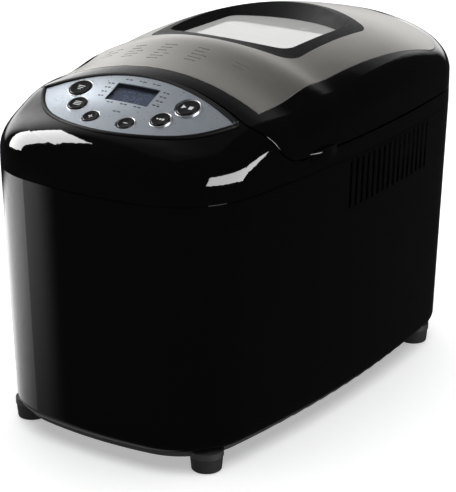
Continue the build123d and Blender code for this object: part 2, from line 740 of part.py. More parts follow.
# ---------------------------------------------------------------- oven chamber
def make_chamber():
    """Sheet steel tub that hangs from the rim, with holes for the drive and the heater."""
    flange_z = RIM_Z - UPPER_WALL - SHEET
    outer_x = CHAMBER_HALF_X + SHEET
    outer_y = CHAMBER_HALF_Y + SHEET
    with BuildPart() as oven_chamber:
        add(round_rectangle(CHAMBER_FLOOR_Z, outer_x, outer_y, CHAMBER_RADIUS + SHEET))
        extrude(amount=flange_z + SHEET - CHAMBER_FLOOR_Z)
        add(round_rectangle(flange_z, CHAMBER_HALF_X + 7, CHAMBER_HALF_Y + 7, CHAMBER_RADIUS + 7))
        extrude(amount=SHEET)
        add(round_rectangle(CHAMBER_FLOOR_Z + SHEET, CHAMBER_HALF_X, CHAMBER_HALF_Y, CHAMBER_RADIUS))
        extrude(amount=200, mode=Mode.SUBTRACT)
        with Locations(*[(0, y, CHAMBER_FLOOR_Z) for y in PADDLE_YS.values()]):
            Cylinder(8, 10, mode=Mode.SUBTRACT)
        front_wall = CHAMBER_Y - CHAMBER_HALF_Y
        with BuildSketch(Plane.XZ.offset(-front_wall - 5)):
            with Locations((-14, HEATER_Z), (14, HEATER_Z)):
                Circle(HEATER_RADIUS + 0.3)
            with Locations((-35, SENSOR_Z)):
                Circle(3.2)
        extrude(amount=10, mode=Mode.SUBTRACT)
    save(oven_chamber.part, "oven_chamber")


def make_heater():
    """Tubular heater: one turn round the foot of the pan, with both ends through the front wall."""
    side_x = 76.5
    front_y = CHAMBER_Y - 119.5
    back_y = CHAMBER_Y + 118.0
    bend = 22.0
    with BuildPart() as heating_element:
        with BuildLine(Plane.XY.offset(HEATER_Z)) as route:
            FilletPolyline(
                (-14, front_y - 18),
                (-14, front_y),
                (-side_x, front_y),
                (-side_x, back_y),
                (side_x, back_y),
                (side_x, front_y),
                (14, front_y),
                (14, front_y - 18),
                radius=(8, bend, bend, bend, bend, 8),
            )
        with BuildSketch(Plane(route.line @ 0, z_dir=route.line % 0)):
            Circle(HEATER_RADIUS)
        sweep()
    save(heating_element.part, "heating_element")
    floor_top = CHAMBER_FLOOR_Z + SHEET
    support_height = HEATER_Z - HEATER_RADIUS - floor_top
    with BuildPart() as element_supports:
        with Locations((0, 65, floor_top)):
            with GridLocations(2 * side_x, 90, 2, 2):
                Box(3, 8, support_height, align=STANDING)
    save(element_supports.part, "element_supports")


def make_sensors():
    """Temperature probe and thermal fuse on the chamber's front wall."""
    outer_wall = CHAMBER_Y - CHAMBER_HALF_Y - SHEET
    with BuildPart() as temperature_sensor:
        with BuildSketch(Plane.XZ.offset(-(outer_wall - 8))):
            with Locations((-35, SENSOR_Z)):
                Circle(3.0)
        extrude(amount=-16)
        with BuildSketch(Plane.XZ.offset(-(outer_wall - 4))):
            with Locations((-35, SENSOR_Z)):
                RegularPolygon(6, 6)
        extrude(amount=-4)
    save(temperature_sensor.part, "temperature_sensor")
    with BuildPart() as thermal_fuse:
        with Locations((35, outer_wall - 3, SENSOR_Z)):
            Box(28, 6, 9)
        fillet(thermal_fuse.edges().filter_by(Axis.X), 2)
    save(thermal_fuse.part, "thermal_fuse")


def make_heat_shield():
    """Sheet wall between the hot chamber and the electronics."""
    shield_y = CHAMBER_Y - CHAMBER_HALF_Y - 14
    with BuildPart() as heat_shield:
        with Locations((0, shield_y, 142)):
            Box(164, SHEET, 144)
        for x in (-81.5, 81.5):
            with Locations((x, shield_y + 5, 142)):
                Box(SHEET, 10, 144)
        for z in (100, 180):
            with Locations((55, shield_y, z)):
                Box(30, 3, 4, mode=Mode.SUBTRACT)
    save(heat_shield.part, "heat_shield")


# ---------------------------------------------------------------- pan and paddles
def make_pan():
    """Tapered loaf pan with a turned-out rim, standing on a skirt."""
    with BuildPart() as bread_pan:
        add(round_rectangle(PAN_BOTTOM_Z, PAN_HALF_X - PAN_TAPER, PAN_HALF_Y - PAN_TAPER, 20))
        add(round_rectangle(PAN_TOP_Z, PAN_HALF_X, PAN_HALF_Y, 22))
        loft()
        add(round_rectangle(PAN_TOP_Z - 2.5, PAN_HALF_X + 3, PAN_HALF_Y + 3, 25))
        extrude(amount=2.5)
        inner_x = PAN_HALF_X - PAN_WALL
        inner_y = PAN_HALF_Y - PAN_WALL
        add(round_rectangle(PAN_BOTTOM_Z + PAN_WALL, inner_x - PAN_TAPER, inner_y - PAN_TAPER, 19))
        add(round_rectangle(PAN_TOP_Z, inner_x, inner_y, 21))
        loft(mode=Mode.SUBTRACT)
        with Locations(*[(0, y, PAN_BOTTOM_Z) for y in PADDLE_YS.values()]):
            Cylinder(9, 10, mode=Mode.SUBTRACT)
        # Handle pivots on the end walls
        for end in (-1, 1):
            with BuildSketch(Plane.XZ.offset(-(CHAMBER_Y + end * (PAN_HALF_Y - 1.0)))):
                with Locations((0, HANDLE_Z)):
                    Circle(2.5)
            extrude(amount=-end * 7.5)
    save(bread_pan.part, "bread_pan")
    with BuildPart() as pan_base:
        skirt_x = PAN_HALF_X - PAN_TAPER - 8
        skirt_y = PAN_HALF_Y - PAN_TAPER - 8
        add(round_rectangle(CHAMBER_FLOOR_Z + SHEET + 0.4, skirt_x, skirt_y, 16))
        extrude(amount=PAN_BOTTOM_Z - CHAMBER_FLOOR_Z - SHEET - 0.4)
        add(round_rectangle(CHAMBER_FLOOR_Z, skirt_x - 1.6, skirt_y - 1.6, 15))
        extrude(amount=PAN_BOTTOM_Z - CHAMBER_FLOOR_Z, mode=Mode.SUBTRACT)
    save(pan_base.part, "pan_base")
    with BuildPart() as pan_bushings:
        for y in PADDLE_YS.values():
            with Locations((0, y, PAN_BOTTOM_Z - 7)):
                Cylinder(12, 7, align=STANDING)
                Cylinder(9, 12, align=STANDING)
                Cylinder(SHAFT_RADIUS + BEARING_CLEARANCE, 40, mode=Mode.SUBTRACT)
    save(pan_bushings.part, "pan_bushings")


def make_handle():
    """Wire bail of the pan, folded down along one side."""
    pivot_z = HANDLE_Z
    reach_x = PAN_HALF_X + 8.5
    reach_y = PAN_HALF_Y + 7.2
    with BuildPart() as pan_handle:
        with BuildLine(Plane.XY.offset(pivot_z)) as route:
            FilletPolyline(
                (3.2, CHAMBER_Y - reach_y),
                (reach_x, CHAMBER_Y - reach_y),
                (reach_x, CHAMBER_Y + reach_y),
                (3.2, CHAMBER_Y + reach_y),
                radius=18,
            )
        with BuildSketch(Plane(route.line @ 0, z_dir=route.line % 0)):
            Circle(HANDLE_WIRE)
        sweep()
        for end in (-1, 1):
            with Locations((0, CHAMBER_Y + end * reach_y, pivot_z)):
                Cylinder(5.0, 2 * HANDLE_WIRE + 0.4, rotation=(90, 0, 0))
                Cylinder(2.5 + BEARING_CLEARANCE, 12, rotation=(90, 0, 0), mode=Mode.SUBTRACT)
    save(pan_handle.part, "pan_handle")


def make_paddles():
    """Kneading paddles on the pan's shafts, each shaft with a wing under the pan."""
    wing_z = CHAMBER_FLOOR_Z + SHEET + 6
    for place, y in PADDLE_YS.items():
        with BuildPart() as pan_shaft:
            with Locations((0, y, wing_z)):
                Cylinder(SHAFT_RADIUS, 50, align=STANDING)
                Box(26, 5, 4.5, align=STANDING)
        save(pan_shaft.part, f"pan_shaft_{place}")
        with BuildPart() as paddle:
            with Locations((0, y, PAN_BOTTOM_Z + 6)):
                Cylinder(8, 28, align=STANDING)
            with BuildSketch(Plane.XZ.offset(-(y + 2))):
                with BuildLine():
                    Polyline((5, PAN_BOTTOM_Z + 6), (38, PAN_BOTTOM_Z + 6), (42, PAN_BOTTOM_Z + 14))
                    ThreePointArc((42, PAN_BOTTOM_Z + 14), (34, PAN_BOTTOM_Z + 30), (18, PAN_BOTTOM_Z + 34))
                    Polyline((18, PAN_BOTTOM_Z + 34), (5, PAN_BOTTOM_Z + 34), (5, PAN_BOTTOM_Z + 6))
                make_face()
            extrude(amount=4)
            with Locations((0, y, PAN_BOTTOM_Z)):
                Cylinder(SHAFT_RADIUS, 36, align=STANDING, mode=Mode.SUBTRACT)
        save(paddle.part, f"kneading_paddle_{place}")


# ---------------------------------------------------------------- drive
def pulley(x, y, low_z, radius, width):
    """Flat pulley with a flange at each end."""
    with BuildPart() as wheel:
        with Locations((x, y, low_z)):
            Cylinder(radius, width, align=STANDING)
            Cylinder(radius + 2.6, 1.2, align=STANDING)
        with Locations((x, y, low_z + width - 1.2)):
            Cylinder(radius + 2.6, 1.2, align=STANDING)
    return wheel.part


def make_pulleys():
    """Large pulley with a timing pulley on top, its twin for the rear shaft, and the motor's."""
    front = pulley(0, PADDLE_YS["front"], BELT_ONE_Z - 1.5, BIG_PULLEY_RADIUS, 11)
    front_timing = pulley(0, PADDLE_YS["front"], BELT_TWO_Z - 1.5, TIMING_PULLEY_RADIUS, 11)
    rear_timing = pulley(0, PADDLE_YS["rear"], BELT_TWO_Z - 1.5, TIMING_PULLEY_RADIUS, 11)
    motor_side = pulley(0, MOTOR_Y, BELT_ONE_Z - 1.5, MOTOR_PULLEY_RADIUS, 11)
    with BuildPart() as drive_pulley_front:
        add(front)
        add(front_timing)
        with Locations((0, PADDLE_YS["front"], BELT_ONE_Z)):
            Cylinder(12, BELT_TWO_Z - BELT_ONE_Z, align=STANDING)
            Cylinder(SHAFT_RADIUS, 60, mode=Mode.SUBTRACT)
        with Locations((0, PADDLE_YS["front"], BELT_ONE_Z + 4)):
            with PolarLocations(30, 5):
                Cylinder(8.5, 14, mode=Mode.SUBTRACT)
    save(drive_pulley_front.part, "drive_pulley_front")
    with BuildPart() as drive_pulley_rear:
        add(rear_timing)
        with Locations((0, PADDLE_YS["rear"], BELT_TWO_Z)):
            Cylinder(SHAFT_RADIUS, 60, mode=Mode.SUBTRACT)
    save(drive_pulley_rear.part, "drive_pulley_rear")
    with BuildPart() as motor_pulley:
        add(motor_side)
        with Locations((0, MOTOR_Y, BELT_ONE_Z)):
            Cylinder(SHAFT_RADIUS, 60, mode=Mode.SUBTRACT)
    save(motor_pulley.part, "motor_pulley")


def belt(low_z, start, end):
    """Flat loop around two pulleys; start and end are (y, radius)."""
    with BuildPart() as loop:
        for extra, mode in ((BELT_GAP + BELT_THICKNESS, Mode.ADD), (BELT_GAP, Mode.SUBTRACT)):
            with BuildSketch(Plane.XY.offset(low_z)):
                with Locations((0, start[0])):
                    Circle(start[1] + extra)
                with Locations((0, end[0])):
                    Circle(end[1] + extra)
                make_hull()
            extrude(amount=BELT_WIDTH, mode=mode)
    return loop.part


def make_belts():
    """Motor belt and the timing belt between the two drive shafts."""
    front_y = PADDLE_YS["front"]
    rear_y = PADDLE_YS["rear"]
    motor_belt = belt(BELT_ONE_Z, (MOTOR_Y, MOTOR_PULLEY_RADIUS), (front_y, BIG_PULLEY_RADIUS))
    save(motor_belt, "motor_belt")
    timing_belt = belt(BELT_TWO_Z, (front_y, TIMING_PULLEY_RADIUS), (rear_y, TIMING_PULLEY_RADIUS))
    save(timing_belt, "timing_belt")


def make_drive_shafts():
    """Drive shafts with a two-pin coupling above the chamber floor, and their bearing blocks."""
    disc_z = CHAMBER_FLOOR_Z + SHEET + 1.2
    for place, y in PADDLE_YS.items():
        with BuildPart() as drive_shaft:
            with Locations((0, y, BELT_ONE_Z - 3)):
                Cylinder(SHAFT_RADIUS, disc_z - BELT_ONE_Z + 3, align=STANDING)
            with Locations((0, y, disc_z)):
                Cylinder(14, 3, align=STANDING)
            with Locations((0, y - 9.5, disc_z + 3), (0, y + 9.5, disc_z + 3)):
                Cylinder(2.5, 5.5, align=STANDING)
        save(drive_shaft.part, f"drive_shaft_{place}")
    with BuildPart() as bearing_blocks:
        for y in PADDLE_YS.values():
            with Locations((0, y, CHAMBER_FLOOR_Z)):
                Cylinder(22, 2.5, align=HANGING)
                Cylinder(11, 21, align=HANGING)
                Cylinder(SHAFT_RADIUS + BEARING_CLEARANCE, 80, mode=Mode.SUBTRACT)
    save(bearing_blocks.part, "bearing_blocks")


def make_motor():
    """Motor on its bracket, with the shaft pointing down, and the run capacitor."""
    bracket_z = 56.0
    floor_top = FOOT_HEIGHT + 2.0
    with BuildPart() as motor_bracket:
        with BuildSketch(Plane.XY.offset(bracket_z)) as plate:
            with Locations((0, MOTOR_Y)):
                Rectangle(80, 80)
                fillet(plate.vertices(), 8)
                Circle(9, mode=Mode.SUBTRACT)
        extrude(amount=3)
        with Locations((0, MOTOR_Y, floor_top)):
            with GridLocations(64, 64, 2, 2):
                Cylinder(4.5, bracket_z - floor_top, align=STANDING)
    save(motor_bracket.part, "motor_bracket")
    with BuildPart() as motor:
        with Locations((0, MOTOR_Y, bracket_z + 3)):
            Cylinder(MOTOR_RADIUS, 58, align=STANDING)
        fillet(motor.edges().group_by(Axis.Z)[-1], 5)
        with Locations((0, MOTOR_Y, bracket_z + 33)):
            Cylinder(MOTOR_RADIUS + 2, 26)
        with Locations((0, MOTOR_Y, bracket_z)):
            Cylinder(SHAFT_RADIUS + BEARING_CLEARANCE, 60, mode=Mode.SUBTRACT)
    save(motor.part, "motor")
    with BuildPart() as motor_shaft:
        with Locations((0, MOTOR_Y, BELT_ONE_Z - 3)):
            Cylinder(SHAFT_RADIUS, 60, align=STANDING)
    save(motor_shaft.part, "motor_shaft")
    with BuildPart() as capacitor:
        with Locations((64, -132, floor_top)):
            Cylinder(15, 54, align=STANDING)
        fillet(capacitor.edges().group_by(Axis.Z)[-1], 2)
        with Locations((60, -132, floor_top + 54), (68, -132, floor_top + 54)):
            Box(1, 5, 8, align=STANDING)
    save(capacitor.part, "capacitor")


def make_power_board():
    """Upright power board with its transformer, relay and capacitor."""
    with BuildPart() as power_board:
        with Locations((BOARD_X, -137, 86)):
            Box(1.6, 79, 90)
    save(power_board.part, "power_board")
    with BuildPart() as power_components:
        with Locations((BOARD_X + 0.8, -160, 95)):
            Box(24, 26, 28, align=(Align.MIN, Align.CENTER, Align.CENTER))
        with Locations((BOARD_X + 0.8, -122, 96)):
            Box(15, 20, 18, align=(Align.MIN, Align.CENTER, Align.CENTER))
        with Locations((BOARD_X + 0.8, -122, 70)):
            Cylinder(6, 20, rotation=(0, 90, 0), align=STANDING)
    save(power_components.part, "power_components")


make_lower_housing()
make_base()
make_feet()
make_base_screws()
make_cord_gland()
make_upper_housing()
make_fascia()
make_display()
make_buttons()
make_button_rings()
make_control_board()
make_lid_frame()
make_decor_plate()
make_window()
make_lid_liner()
make_hinge()
make_chamber()
make_heater()
make_sensors()
make_heat_shield()
make_pan()
make_handle()
make_paddles()
make_pulleys()
make_belts()
make_drive_shafts()
make_motor()
make_power_board()
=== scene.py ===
import json
from math import asin, cos, hypot, pi, radians, sin

import bmesh
import bpy
from mathutils import Euler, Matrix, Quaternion, Vector
from mathutils.bvhtree import BVHTree


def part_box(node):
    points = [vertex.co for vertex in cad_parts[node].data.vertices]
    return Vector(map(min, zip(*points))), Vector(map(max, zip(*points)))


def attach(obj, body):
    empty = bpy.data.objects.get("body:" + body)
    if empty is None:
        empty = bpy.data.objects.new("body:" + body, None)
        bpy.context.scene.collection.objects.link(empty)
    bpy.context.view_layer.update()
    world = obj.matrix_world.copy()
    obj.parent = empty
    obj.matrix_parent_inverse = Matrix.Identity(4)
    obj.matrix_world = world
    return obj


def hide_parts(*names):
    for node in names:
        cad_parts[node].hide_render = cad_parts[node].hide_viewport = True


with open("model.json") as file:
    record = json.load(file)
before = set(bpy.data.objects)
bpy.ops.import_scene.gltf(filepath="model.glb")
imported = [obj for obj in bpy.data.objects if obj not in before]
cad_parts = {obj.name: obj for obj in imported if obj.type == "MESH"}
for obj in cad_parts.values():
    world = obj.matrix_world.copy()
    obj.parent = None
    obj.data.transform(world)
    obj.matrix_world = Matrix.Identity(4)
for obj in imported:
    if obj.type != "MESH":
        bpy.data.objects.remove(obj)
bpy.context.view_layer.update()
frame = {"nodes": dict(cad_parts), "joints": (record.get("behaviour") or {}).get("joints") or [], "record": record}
NODES = frame["nodes"]
RECORD = frame["record"]
MM = 0.001

PRINT_HEIGHT = 0.12 * MM      # how far printed marks stand proud
PRINT_SINK = 0.15 * MM        # how far they reach into the surface below
RING_WIDTH = 1.6 * MM         # trim ring round each button cap
CAP_PROUD = 1.4 * MM          # how far a cap stands above the panel
FLANGE_STEP = 1.0 * MM        # how far a button's flange reaches out past the ring
CAP_RIM = 0.7 * MM            # rounding of a cap's edge
CAP_DISH = 0.35 * MM          # hollow in the middle of a cap
FLANGE_TOP = 6.7 * MM         # depths of a button's flange below its top face
FLANGE_LOW = 7.9 * MM
STEM_RADIUS = 2.0 * MM        # stem of a button, under its flange
RING_GAP = 0.5 * MM           # gap between a cap and its ring
RING_EDGE = 0.1 * MM          # how far a ring stays inside its opening
RING_WALL = 0.35 * MM         # straight part of a ring above the panel
RING_CROWN = 0.4 * MM         # and its rounded part above that
RING_SINK = 1.5 * MM          # how far a ring reaches into the panel
RIM_RADIUS = 1.9 * MM         # bead round the control panel
RIM_SINK = 0.7 * MM           # how far its middle line lies under the panel's face
FAR_UP = 0.5                  # height from which marks are dropped on a surface
SAME_HEIGHT = 0.05 * MM       # points within this of a cap's top belong to its top face

CAP_BAR = 0.8 * MM            # width of a bar printed on a cap, or on the lid plate
CAP_PRINT = 0.1 * MM          # thickness of that print above and below the cap's face
WORD_HEIGHT = 1.1 * MM        # height of a bar that stands for a printed word
WORD_GAP = 0.8 * MM           # gap between two of them
DISPLAY_HALF = (20.0 * MM, 9.3 * MM)    # half width and depth of the display's frame
PLATE_COLUMNS = (             # lists on the lid plate: middle, rows, and first row's distance in mm
    (-74, 3, 44), (-48, 5, 46), (-20, 6, 47), (12, 5, 48), (50, 2, 44),
)
PLATE_ROW = 5.0 * MM          # pitch of their rows
DIGITS = ((-7.2, 3), (-0.4, 2), (6.4, 0))    # place in mm and number shown
DIGIT_SIZE = (3.6 * MM, 6.8 * MM, 0.75 * MM)    # width, height and thickness of a digit
DIGITS_DOWN = 2.6 * MM        # how far the digits lie in front of the display's middle

FLOOR_REACH = 9.0             # half width of the floor
FLOOR_GLOW = (0.9, 4.0, 0.42, 1.0)    # two distances from the machine, and the floor's painted glow there: weaker near the machine, so the floor is darker round it
LAMP_LEVEL = 10.0             # brightness of the faces of the two soft boxes
AIM_HEIGHT = 0.2              # height on the machine that they point at

# What the machine mirrors besides the soft boxes. Sides are azimuths in degrees: the middle, how far
# from it the brightness ends, and how far it is full. Heights are sines of elevations.
SCREEN_LEVEL = 2.1            # brightness of the screen at the horizon
SCREEN_TOP_LEVEL = 0.03       # and at its top
SCREEN_SIDE = (-142, 40, 24)
SCREEN_FOOT = (-0.06, 0.06)   # it begins between these heights
SCREEN_FADE = (-0.25, 0.9)    # and fades between these
GROUND_LEVEL = 2.0            # brightness of the floor at its far end
GROUND_NEAR_LEVEL = 0.2       # and near the machine
GROUND_SIDE = (-95, 48, 22)
GROUND_END = (-0.335, -0.315)    # it ends between these heights
GROUND_FADE = (-0.50, -0.32)  # and brightens between these
DARK_LEVEL = 0.02             # brightness of everything else


# ---------------------------------------------------------------- materials
def shader(name):
    """A new material, its node tree, its shader and object coordinates."""
    material = bpy.data.materials.new(name)
    material.use_nodes = True
    tree = material.node_tree
    principled = tree.nodes["Principled BSDF"]
    coordinates = tree.nodes.new("ShaderNodeTexCoord")
    return material, tree, principled, coordinates.outputs["Object"]


def stretched(tree, source, stretch):
    """Coordinates scaled by a different factor along each axis."""
    mapping = tree.nodes.new("ShaderNodeMapping")
    mapping.inputs["Scale"].default_value = stretch
    tree.links.new(source, mapping.inputs["Vector"])
    return mapping.outputs["Vector"]


def noise(tree, source, scale, detail=4.0, stretch=(1, 1, 1)):
    """Noise value over the surface."""
    texture = tree.nodes.new("ShaderNodeTexNoise")
    texture.inputs["Scale"].default_value = scale
    texture.inputs["Detail"].default_value = detail
    tree.links.new(stretched(tree, source, stretch), texture.inputs["Vector"])
    return texture.outputs["Fac"]


def spread(tree, value, low, high):
    """Noise remapped to a range of values."""
    remap = tree.nodes.new("ShaderNodeMapRange")
    remap.inputs["From Min"].default_value = 0.3
    remap.inputs["From Max"].default_value = 0.7
    remap.inputs["To Min"].default_value = low
    remap.inputs["To Max"].default_value = high
    tree.links.new(value, remap.inputs["Value"])
    return remap.outputs["Result"]


def tint(tree, value, dark, light):
    """Noise turned into a colour between two others."""
    mix = tree.nodes.new("ShaderNodeMix")
    mix.data_type = "RGBA"
    mix.inputs["A"].default_value = (*dark, 1)
    mix.inputs["B"].default_value = (*light, 1)
    tree.links.new(value, mix.inputs["Factor"])
    return mix.outputs["Result"]


def surface(name, colour, rough, metal=0.0, vary=0.12, grain=60.0, stretch=(1, 1, 1), bump=0.05,
            bump_depth=0.05 * MM, rough_spread=0.05, coat=0.0, specular=0.5, speckle=None,
            transmission=0.0, ior=1.45):
    """Procedural surface: colour variation, uneven roughness and a fine relief."""
    material, tree, principled, source = shader(name)
    patches = noise(tree, source, grain * 0.25, 3.0, stretch)
    fine = noise(tree, source, grain, 6.0, stretch)
    dark = [c * (1 - vary) for c in colour]
    light = [min(1.0, c * (1 + vary)) for c in colour]
    tree.links.new(tint(tree, patches, dark, light), principled.inputs["Base Color"])
    uneven = spread(tree, fine, max(0.0, rough - rough_spread), min(1.0, rough + rough_spread))
    tree.links.new(uneven, principled.inputs["Roughness"])
    relief = tree.nodes.new("ShaderNodeBump")
    relief.inputs["Strength"].default_value = bump
    relief.inputs["Distance"].default_value = bump_depth
    height = noise(tree, source, speckle, 2.0) if speckle else fine
    tree.links.new(height, relief.inputs["Height"])
    tree.links.new(relief.outputs["Normal"], principled.inputs["Normal"])
    principled.inputs["Metallic"].default_value = metal
    principled.inputs["Coat Weight"].default_value = coat
    principled.inputs["Coat Roughness"].default_value = 0.03
    principled.inputs["Specular IOR Level"].default_value = specular
    principled.inputs["Transmission Weight"].default_value = transmission
    principled.inputs["IOR"].default_value = ior
    return material


def make_materials():
    """One material for each of the record's slots, and a few for added pieces."""
    lengthwise = (14, 0.35, 14)
    crosswise = (0.4, 12, 12)
    return {
        "body_gloss": surface("body_gloss", (0.0018, 0.0018, 0.0020), 0.05, vary=0.25, grain=25,
                              bump=0.02, bump_depth=0.02 * MM, rough_spread=0.02, coat=0.25),
        "base_matte": surface("base_matte", (0.035, 0.035, 0.037), 0.55, vary=0.2, grain=300,
                              bump=0.4, bump_depth=0.15 * MM, speckle=900),
        "rubber": surface("rubber", (0.022, 0.022, 0.023), 0.7, vary=0.25, grain=200, bump=0.3,
                          bump_depth=0.1 * MM, specular=0.3),
        "panel_silver": surface("panel_silver", (0.50, 0.545, 0.60), 0.32, metal=0.75, vary=0.03,
                                grain=500, bump=0.06, bump_depth=0.03 * MM, speckle=2600),
        "button_black": surface("button_black", (0.008, 0.008, 0.009), 0.16, vary=0.3, grain=200,
                                bump=0.05, rough_spread=0.04),
        "trim_chrome": surface("trim_chrome", (0.62, 0.63, 0.65), 0.38, metal=1.0, vary=0.04,
                               grain=300, bump=0.02, rough_spread=0.04),
        "rim_satin": surface("rim_satin", (0.004, 0.004, 0.0045), 0.5, vary=0.2, grain=200,
                             bump=0.05, specular=0.2),
        "lcd_glass": surface("lcd_glass", (0.55, 0.6, 0.7), 0.06, vary=0.04, grain=150, bump=0.01,
                             rough_spread=0.02, transmission=1.0, specular=0.3, ior=1.2),
        "lcd_dark": surface("lcd_dark", (0.020, 0.026, 0.043), 0.35, vary=0.15, grain=400,
                            bump=0.05),
        "board_green": surface("board_green", (0.02, 0.14, 0.06), 0.35, vary=0.3, grain=400,
                               bump=0.2),
        "component_black": surface("component_black", (0.02, 0.02, 0.021), 0.45, vary=0.25,
                                   grain=350, bump=0.2),
        "decor_steel": surface("decor_steel", (0.42, 0.405, 0.38), 0.34, metal=0.88, vary=0.06,
                               grain=260, stretch=lengthwise, bump=0.10, bump_depth=0.03 * MM,
                               rough_spread=0.05),
        "clear_glass": surface("clear_glass", (0.80, 0.80, 0.79), 0.05, vary=0.03, grain=40,
                               bump=0.01, rough_spread=0.03, transmission=0.42, ior=1.5),
        "sheet_steel": surface("sheet_steel", (0.52, 0.53, 0.54), 0.36, metal=1.0, vary=0.06,
                               grain=220, stretch=crosswise, bump=0.08, rough_spread=0.06),
        "aluminised": surface("aluminised", (0.6, 0.61, 0.62), 0.42, metal=1.0, vary=0.12,
                              grain=120, bump=0.12, rough_spread=0.08),
        "heater_steel": surface("heater_steel", (0.16, 0.15, 0.145), 0.5, metal=0.8, vary=0.3,
                                grain=250, bump=0.2),
        "pan_coat": surface("pan_coat", (0.055, 0.055, 0.058), 0.38, metal=0.3, vary=0.2,
                            grain=500, bump=0.3, bump_depth=0.06 * MM, speckle=1500),
        "cast_alloy": surface("cast_alloy", (0.42, 0.43, 0.44), 0.5, metal=0.9, vary=0.15,
                              grain=400, bump=0.4, bump_depth=0.1 * MM, speckle=900),
        "bright_steel": surface("bright_steel", (0.62, 0.63, 0.64), 0.22, metal=1.0, vary=0.06,
                                grain=300, bump=0.06),
        "brass": surface("brass", (0.58, 0.43, 0.18), 0.3, metal=1.0, vary=0.1, grain=300,
                         bump=0.08),
        "seal_silicone": surface("seal_silicone", (0.13, 0.13, 0.14), 0.6, vary=0.15, grain=250,
                                 bump=0.15),
        "nylon_white": surface("nylon_white", (0.72, 0.72, 0.69), 0.4, vary=0.05, grain=300,
                               bump=0.1),
        "motor_paint": surface("motor_paint", (0.12, 0.13, 0.15), 0.4, metal=0.3, vary=0.15,
                               grain=250, bump=0.2),
        "ink_dark": surface("ink_dark", (0.045, 0.05, 0.06), 0.5, vary=0.2, grain=800, bump=0.05),
        "ink_plate": surface("ink_plate", (0.10, 0.10, 0.095), 0.5, vary=0.2, grain=800,
                             bump=0.05),
        "ink_white": surface("ink_white", (0.62, 0.63, 0.64), 0.45, vary=0.06, grain=800,
                             bump=0.05),
        "ink_lcd": surface("ink_lcd", (0.16, 0.19, 0.25), 0.45, vary=0.1, grain=500, bump=0.05),
    }


LOOKS = make_materials()


def paint_nodes():
    """Give every CAD node the material of its slot. The window's bezel is the same black, but dull."""
    for part in RECORD["subparts"]:
        mesh = NODES[part["node"]].data
        look = "rim_satin" if part["node"] == "window_bezel" else part["material_slot"]
        mesh.materials.clear()
        mesh.materials.append(LOOKS[look])


# ---------------------------------------------------------------- mesh helpers
TREES = {}


def drop(node, x, y):
    """Point of a CAD node's upper surface at a plan position."""
    if node not in TREES:
        mesh = NODES[node].data
        corners = [v.co for v in mesh.vertices]
        TREES[node] = BVHTree.FromPolygons(corners, [p.vertices for p in mesh.polygons])
    hit = TREES[node].ray_cast(Vector((x, y, FAR_UP)), Vector((0, 0, -1)))
    if hit[0] is None:
        raise ValueError(f"nothing of {node} lies under {x:.4f}, {y:.4f}")
    return hit[0]


def piece(name, mesh_data, body, slot, look=None, smooth=True):
    """A new object from a bmesh, riding on a body, with the material of its look, or of its slot when no look is
    given.
    """
    bmesh.ops.recalc_face_normals(mesh_data, faces=mesh_data.faces)
    mesh = bpy.data.meshes.new(name)
    mesh_data.to_mesh(mesh)
    mesh_data.free()
    for face in mesh.polygons:
        face.use_smooth = smooth
    obj = bpy.data.objects.new(name, mesh)
    bpy.context.scene.collection.objects.link(obj)
    mesh.materials.append(LOOKS[look or slot])
    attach(obj, body)
    return obj


def add_plate(mesh_data, outline, top_of, height=PRINT_HEIGHT, sink=PRINT_SINK):
    """A thin closed plate over an outline: top_of gives each corner's point on the surface."""
    on_surface = [top_of(x, y) for x, y in outline]
    upper = [mesh_data.verts.new(p + Vector((0, 0, height))) for p in on_surface]
    lower = [mesh_data.verts.new(p - Vector((0, 0, sink))) for p in on_surface]
    mesh_data.faces.new(upper)
    mesh_data.faces.new(lower[::-1])
    count = len(upper)
    for i in range(count):
        j = (i + 1) % count
        mesh_data.faces.new((upper[i], lower[i], lower[j], upper[j]))


def capsule(x, y, length, width, angle=0.0, steps=5):
    """Outline of a bar with round ends."""
    points = []
    for side in (1, -1):
        for i in range(steps + 1):
            turn = -pi / 2 + pi * i / steps
            u = side * (length - width) / 2 + side * width / 2 * cos(turn)
            v = side * width / 2 * sin(turn)
            points.append((x + u * cos(angle) - v * sin(angle), y + u * sin(angle) + v * cos(angle)))
    return points


def disc(x, y, radius, steps=20):
    """Outline of a circle."""
    return [(x + radius * cos(2 * pi * i / steps), y + radius * sin(2 * pi * i / steps))
            for i in range(steps)]


def turned(profile, centre, normal, steps=48):
    """Closed solid of revolution: profile is (radius, height) pairs from the axis back to it."""
    mesh_data = bmesh.new()
    up = Vector(normal).normalized()
    side = Vector((1, 0, 0))
    other = up.cross(side)
    rings = []
    for radius, height in profile:
        if radius == 0:
            rings.append([mesh_data.verts.new(centre + up * height)])
            continue
        ring = []
        for i in range(steps):
            turn = 2 * pi * i / steps
            offset = side * radius * cos(turn) + other * radius * sin(turn)
            ring.append(mesh_data.verts.new(centre + offset + up * height))
        rings.append(ring)
    for lower, upper in zip(rings, rings[1:]):
        for i in range(steps):
            j = (i + 1) % steps
            corners = [lower[i % len(lower)], lower[j % len(lower)],
                       upper[j % len(upper)], upper[i % len(upper)]]
            mesh_data.faces.new(list(dict.fromkeys(corners)))
    return mesh_data


def join_loops(mesh_data, loops):
    """Faces between each loop of vertices and the next, and from the last back to the first."""
    count = len(loops[0])
    for i, here in enumerate(loops):
        there = loops[(i + 1) % len(loops)]
        for k in range(count):
            m = (k + 1) % count
            mesh_data.faces.new((here[k], here[m], there[m], there[k]))


